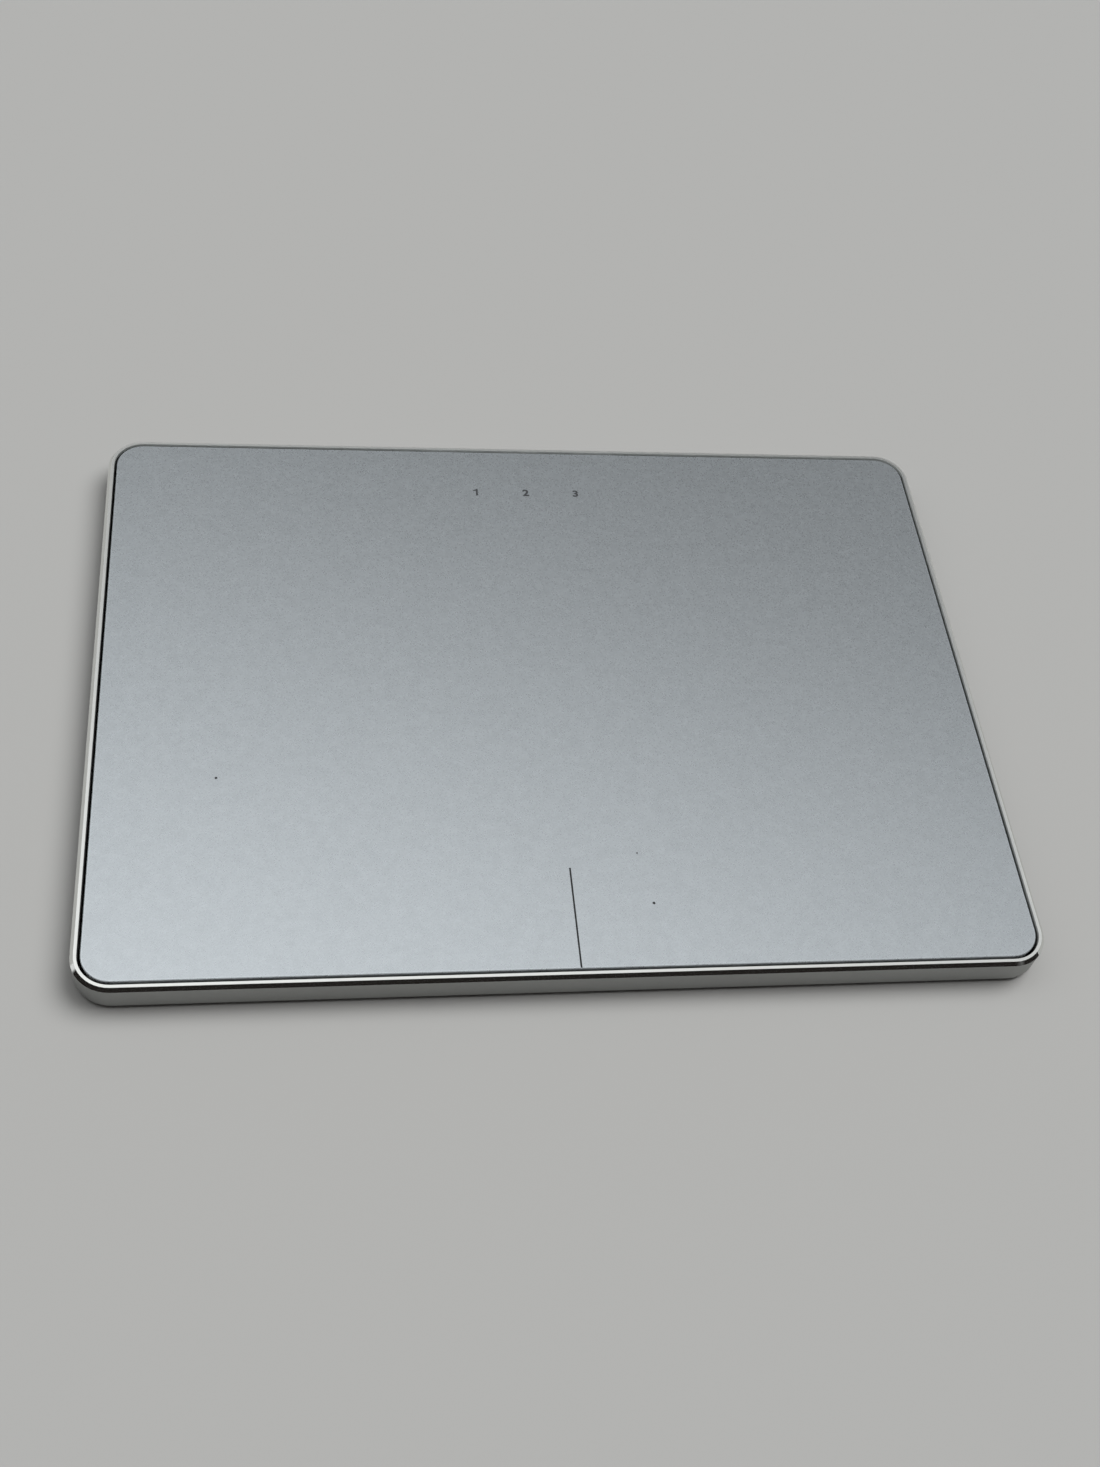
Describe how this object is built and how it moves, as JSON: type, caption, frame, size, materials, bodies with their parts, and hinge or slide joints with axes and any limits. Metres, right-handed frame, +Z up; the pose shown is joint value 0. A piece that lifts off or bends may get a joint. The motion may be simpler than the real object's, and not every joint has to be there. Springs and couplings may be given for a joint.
{
  "type": "trackpad",
  "caption": "Slim wireless trackpad with an aluminium rim, a satin touch plate that clicks at its front edge, and a charging socket, slider and button at the rear.",
  "frame": {"origin": "middle of the footprint, on the table under the feet", "axes": "+X to the user's right along the long side, +Y away from the user to the rear wall, +Z up"},
  "size_m": [0.162, 0.12, 0.006],
  "materials": {
    "rim_aluminium": "satin anodised, polished chamfer",
    "cover_plastic": "fine moulded grain",
    "screw_steel": "plated",
    "foot_rubber": "matte",
    "touch_surface": "satin silver paint behind a fine matt face, opaque",
    "adhesive": "film",
    "circuit_board": "solder mask",
    "spring_steel": "rolled",
    "chip_black": "moulded",
    "socket_plastic": "moulded",
    "ribbon_film": "film",
    "clear_plastic": "clear moulded",
    "brass": "turned",
    "shield_steel": "plated sheet",
    "battery_foil": "laminated foil",
    "wire_insulation": "extruded",
    "control_plastic": "fine grain"
  },
  "bodies": {
    "root": {"rim_frame": "rim_aluminium", "bottom_cover": "cover_plastic", "cover_screws": "screw_steel", "rubber_feet": "foot_rubber", "sensor_ribbon": "ribbon_film", "hinge_leaf_left": "spring_steel", "hinge_leaf_right": "spring_steel", "leaf_nuts": "brass", "hinge_screws": "screw_steel", "stop_pads": "foot_rubber", "main_board": "circuit_board", "board_screws": "screw_steel", "board_connector": "socket_plastic", "channel_leds": "clear_plastic", "wireless_shield": "shield_steel", "wireless_chip": "chip_black", "chip_antenna": "socket_plastic", "power_chip": "chip_black", "battery": "battery_foil", "battery_tape": "adhesive", "battery_connector": "socket_plastic", "battery_lead": "wire_insulation", "usb_socket_shell": "shield_steel", "usb_tongue": "chip_black", "power_switch_body": "shield_steel", "channel_switch_body": "shield_steel"},
    "touch_plate": {"touch_glass": "touch_surface", "glass_adhesive": "adhesive", "sensor_board": "circuit_board", "support_plate": "spring_steel", "touch_controller": "chip_black", "sensor_connector": "socket_plastic", "light_guide": "clear_plastic", "click_switch_body": "chip_black", "switch_dome": "spring_steel"},
    "click_plunger": {"switch_plunger": "control_plastic"},
    "power_switch": {"power_slider": "control_plastic", "power_switch_lever": "chip_black"},
    "channel_key": {"channel_button": "control_plastic", "channel_switch_stem": "chip_black"}
  },
  "joints": [
    {"name": "plate_click", "type": "hinge", "parent": "root", "child": "touch_plate", "pos_m": [0, 0.0475, 0.00385], "axis": [1, 0, 0], "range_deg": [0, 0.17], "stiffness_Nm_per_rad": 20, "springref_deg": -0.26, "deforming": ["hinge_leaf_left", "hinge_leaf_right", "sensor_ribbon"]},
    {"name": "plunger_travel", "type": "slide", "parent": "touch_plate", "child": "click_plunger", "axis": [0, 0, 1], "range_m": [0, 0.0003], "deforming": ["switch_dome"]},
    {"name": "power_slide", "type": "slide", "parent": "root", "child": "power_switch", "axis": [1, 0, 0], "range_m": [0, 0.002]},
    {"name": "channel_press", "type": "slide", "parent": "root", "child": "channel_key", "axis": [0, -1, 0], "range_m": [0, 0.0003], "stiffness_N_per_m": 2000, "springref_m": -0.0003}
  ],
  "couplings": [
    {"joint": "plunger_travel", "follows": "plate_click", "m_per_rad": 0.095}
  ]
}
